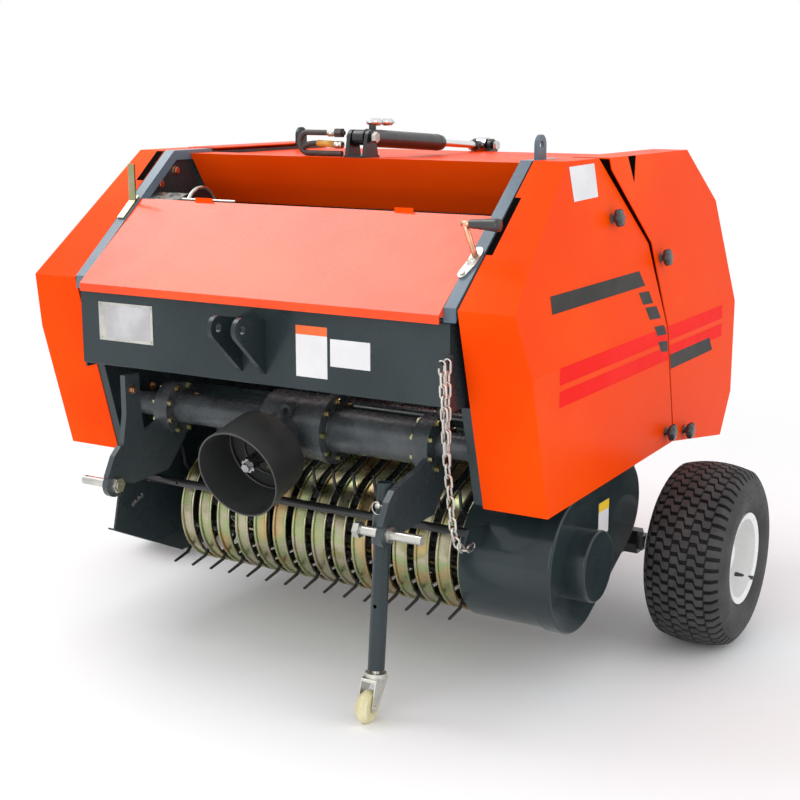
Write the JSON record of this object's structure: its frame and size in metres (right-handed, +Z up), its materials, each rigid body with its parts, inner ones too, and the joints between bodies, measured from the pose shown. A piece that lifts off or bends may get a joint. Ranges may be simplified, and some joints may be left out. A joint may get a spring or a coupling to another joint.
{
  "type": "mini round baler",
  "caption": "Small tractor-mounted round baler: opening rear gate with cylinder, hinged side covers, tined pickup, two wheels and a caster leg.",
  "frame": {"origin": "middle of the machine's bounding box, at floor level", "axes": "+X to the right seen from the front, +Y to the rear, +Z up"},
  "size_m": [1.8646, 1.4688, 1.277],
  "materials": {
    "orange_paint": "gloss orange enamel",
    "dark_paint": "gloss slate enamel",
    "black_paint": "semi-gloss black enamel",
    "zinc_steel": "zinc plated",
    "steel": "bare machined steel",
    "bright_rod": "polished hard chrome",
    "cast_iron": "painted casting",
    "tyre_rubber": "turf tread rubber",
    "white_paint": "white enamel",
    "cream_nylon": "cream nylon",
    "hose_rubber": "braided hose"
  },
  "bodies": {
    "frame": {"side_plate_right": "orange_paint", "side_plate_left": "orange_paint", "rail_right": "dark_paint", "rail_left": "dark_paint", "front_beam": "dark_paint", "top_clevis": "dark_paint", "gearbox": "cast_iron", "pto_shield": "black_paint", "hitch_arm_right": "dark_paint", "hitch_arm_left": "dark_paint", "hitch_pins": "zinc_steel", "hood": "orange_paint", "top_panel": "orange_paint", "cross_tubes": "dark_paint", "axle": "black_paint", "rollers_front": "steel", "stripper_bands": "zinc_steel", "pickup_plate": "dark_paint", "pickup_front_bar": "black_paint", "pickup_drive": "dark_paint", "chain": "zinc_steel", "cylinder_bracket": "black_paint", "hoses": "hose_rubber", "twine_tier": "zinc_steel", "lever_left": "zinc_steel", "crank_right": "black_paint"},
    "pto_shaft": {"pto_shaft": "steel"},
    "support_leg": {"support_leg": "zinc_steel"},
    "caster": {"caster_fork": "zinc_steel"},
    "caster_wheel": {"caster_wheel": "cream_nylon"},
    "wheel_right": {"tyre_right": "tyre_rubber", "rim_right": "white_paint"},
    "wheel_left": {"tyre_left": "tyre_rubber", "rim_left": "white_paint"},
    "gate": {"gate_plate_right": "orange_paint", "gate_plate_left": "orange_paint", "gate_shell": "orange_paint", "rollers_gate": "steel", "gate_bracket": "black_paint"},
    "pickup_reel": {"pickup_reel": "black_paint"},
    "cylinder_barrel": {"cylinder_barrel": "black_paint"},
    "cylinder_rod": {"cylinder_rod": "bright_rod"},
    "front_cover_right": {"front_cover_right": "orange_paint"},
    "front_cover_left": {"front_cover_left": "orange_paint"},
    "rear_cover_right": {"rear_cover_right": "orange_paint"},
    "rear_cover_left": {"rear_cover_left": "orange_paint"}
  },
  "joints": [
    {"name": "gate_hinge", "type": "hinge", "parent": "frame", "child": "gate", "pos_m": [0, -0.0781, 1.178], "axis": [1, 0, 0], "range_deg": [0, 45]},
    {"name": "cylinder_base", "type": "hinge", "parent": "frame", "child": "cylinder_barrel", "pos_m": [0.008, -0.1581, 1.248], "axis": [1, 0, 0], "range_deg": [0, 41]},
    {"name": "cylinder_stroke", "type": "slide", "parent": "cylinder_barrel", "child": "cylinder_rod", "axis": [0, -0.998, 0.063], "range_m": [0, 0.068]},
    {"name": "front_cover_right_hinge", "type": "hinge", "parent": "frame", "child": "front_cover_right", "pos_m": [0.528, -0.6141, 0.69], "axis": [0, 0, -1], "range_deg": [0, 70]},
    {"name": "front_cover_left_hinge", "type": "hinge", "parent": "frame", "child": "front_cover_left", "pos_m": [-0.528, -0.6141, 0.69], "axis": [0, 0, 1], "range_deg": [0, 70]},
    {"name": "rear_cover_right_hinge", "type": "hinge", "parent": "gate", "child": "rear_cover_right", "pos_m": [0.528, 0.7344, 0.65], "axis": [0, 0, 1], "range_deg": [0, 65]},
    {"name": "rear_cover_left_hinge", "type": "hinge", "parent": "gate", "child": "rear_cover_left", "pos_m": [-0.528, 0.7344, 0.65], "axis": [0, 0, -1], "range_deg": [0, 65]},
    {"name": "wheel_right_spin", "type": "hinge", "parent": "frame", "child": "wheel_right", "pos_m": [0.829, 0.1599, 0.2287], "axis": [1, 0, 0], "continuous": true},
    {"name": "wheel_left_spin", "type": "hinge", "parent": "frame", "child": "wheel_left", "pos_m": [-0.829, 0.1599, 0.2287], "axis": [1, 0, 0], "continuous": true},
    {"name": "pickup_reel_spin", "type": "hinge", "parent": "frame", "child": "pickup_reel", "pos_m": [0, -0.2781, 0.3], "axis": [1, 0, 0], "continuous": true},
    {"name": "pto_shaft_spin", "type": "hinge", "parent": "frame", "child": "pto_shaft", "pos_m": [0, -0.4361, 0.58], "axis": [0, -0.9613, -0.2756], "continuous": true},
    {"name": "support_leg_slide", "type": "slide", "parent": "frame", "child": "support_leg", "axis": [0, 0.0958, 0.9954], "range_m": [0, 0.17]},
    {"name": "caster_swivel", "type": "hinge", "parent": "support_leg", "child": "caster", "pos_m": [0.3561, -0.6669, 0.0375], "axis": [0, 0.0958, 0.9954], "continuous": true},
    {"name": "caster_wheel_spin", "type": "hinge", "parent": "caster", "child": "caster_wheel", "pos_m": [0.3561, -0.6969, 0.0375], "axis": [1, 0, 0], "continuous": true}
  ],
  "couplings": [
    {"joint": "cylinder_base", "follows": "gate_hinge", "ratio": 0.904},
    {"joint": "cylinder_stroke", "follows": "gate_hinge", "m_per_rad": 0.084}
  ]
}
